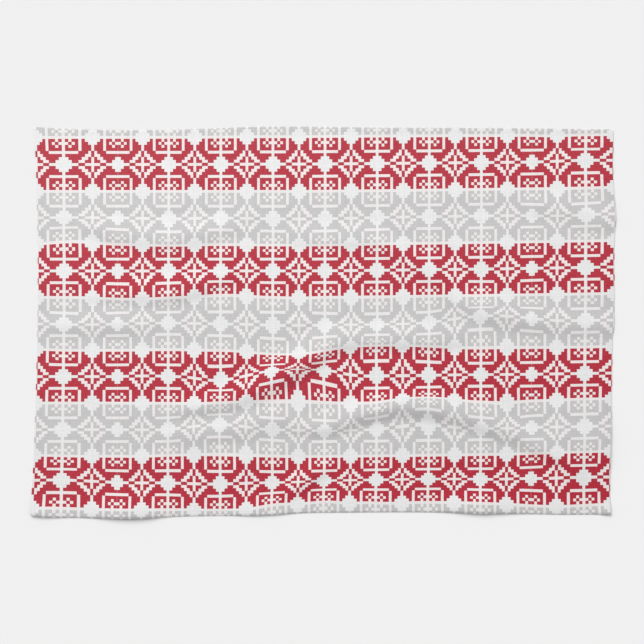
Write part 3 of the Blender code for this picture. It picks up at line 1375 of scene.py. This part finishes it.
class TOWEL_OT_stage(bpy.types.Operator):
    """Make the pale floor, the soft lights and the camera over the towel"""

    bl_idname = "towel.stage"
    bl_label = "Make the stage"

    def execute(self, context):
        settings = context.scene.towel_stage
        self.make_floor(context, settings)
        self.make_lights(context, settings)
        self.make_camera(context, settings)
        context.scene.view_settings.view_transform = "Standard"
        return {"FINISHED"}

    def make_floor(self, context, settings):
        """A plain square in the surface that the towel lies on."""
        half = settings.floor_size / 2.0
        mesh = bpy.data.meshes.new("floor")
        corners = [(-half, -half, 0.0), (half, -half, 0.0), (half, half, 0.0), (-half, half, 0.0)]
        mesh.from_pydata(corners, [], [(0, 1, 2, 3)])
        mesh.materials.append(floor_material(settings))
        floor = bpy.data.objects.new("floor", mesh)
        context.scene.collection.objects.link(floor)

    def make_lights(self, context, settings):
        """An even room light, a broad lamp for the towel, and a soft sun as strong for the floor."""
        world = bpy.data.worlds.new("room")
        world.use_nodes = True
        background = world.node_tree.nodes["Background"]
        background.inputs["Color"].default_value = (1.0, 1.0, 1.0, 1.0)
        background.inputs["Strength"].default_value = settings.sky_strength
        context.scene.world = world

        toward = Vector((
            -np.sin(settings.key_turn) * np.cos(settings.key_elevation),
            np.cos(settings.key_turn) * np.cos(settings.key_elevation),
            np.sin(settings.key_elevation),
        ))
        turned = toward.to_track_quat("Z", "Y").to_euler()

        lamp = bpy.data.lights.new("key", "AREA")
        lamp.shape = "DISK"
        lamp.size = settings.key_size
        # This power gives the sun's strength at the towel's middle
        lamp.energy = settings.key_strength * np.pi * settings.key_distance**2
        key = bpy.data.objects.new("key", lamp)
        key.location = toward * settings.key_distance
        key.rotation_euler = turned
        context.scene.collection.objects.link(key)
        self.light_only(key, "towel", [o for o in context.scene.objects if o.name == "towel_cotton"])

        far_lamp = bpy.data.lights.new("floor_sun", "SUN")
        far_lamp.energy = settings.key_strength
        far_lamp.angle = 2.0 * np.arctan(settings.key_size / 2.0 / settings.key_distance)
        sun = bpy.data.objects.new("floor_sun", far_lamp)
        sun.rotation_euler = turned
        context.scene.collection.objects.link(sun)
        self.light_only(sun, "floor", [o for o in context.scene.objects if o.name == "floor"])

    def light_only(self, light, name, receivers):
        """Lets a light fall on the given objects alone. All objects still cast shadows in it."""
        lit = bpy.data.collections.new("lit_" + name)
        for receiver in receivers:
            lit.objects.link(receiver)
        light.light_linking.receiver_collection = lit

    def make_camera(self, context, settings):
        """A camera that looks straight down, from as high as its lens needs for the view's width."""
        data = bpy.data.cameras.new("camera")
        data.lens = settings.lens
        camera = bpy.data.objects.new("camera", data)
        context.scene.collection.objects.link(camera)
        camera.location = (*VIEW_CENTRE, settings.view_width * data.lens / data.sensor_width)
        context.scene.camera = camera


class TOWEL_PT_panel(bpy.types.Panel):
    """The towel's steps and their settings"""

    bl_label = "Tea towel"
    bl_idname = "TOWEL_PT_panel"
    bl_space_type = "VIEW_3D"
    bl_region_type = "UI"
    bl_category = "Tea towel"

    def draw(self, context):
        layout = self.layout
        scene = context.scene
        for operator, groups in (
            (TOWEL_OT_cloth, (scene.towel_sizes, scene.towel_finish)),
            (TOWEL_OT_stage, (scene.towel_stage,)),
        ):
            layout.operator(operator.bl_idname)
            for group in groups:
                for name in group.__annotations__:
                    layout.prop(group, name)


CLASSES = (ClothSizes, ClothFinish, StageSettings, TOWEL_OT_cloth, TOWEL_OT_stage, TOWEL_PT_panel)


def register():
    """Registers the classes and gives the scene their settings."""
    for cls in CLASSES:
        bpy.utils.register_class(cls)
    bpy.types.Scene.towel_sizes = PointerProperty(type=ClothSizes)
    bpy.types.Scene.towel_finish = PointerProperty(type=ClothFinish)
    bpy.types.Scene.towel_stage = PointerProperty(type=StageSettings)


def unregister():
    """Takes away what register added."""
    del bpy.types.Scene.towel_stage
    del bpy.types.Scene.towel_finish
    del bpy.types.Scene.towel_sizes
    for cls in reversed(CLASSES):
        bpy.utils.unregister_class(cls)


def main():
    """Makes the towel and its stage."""
    register()
    bpy.ops.towel.cloth()
    bpy.ops.towel.stage()


if __name__ == "__main__":
    main()
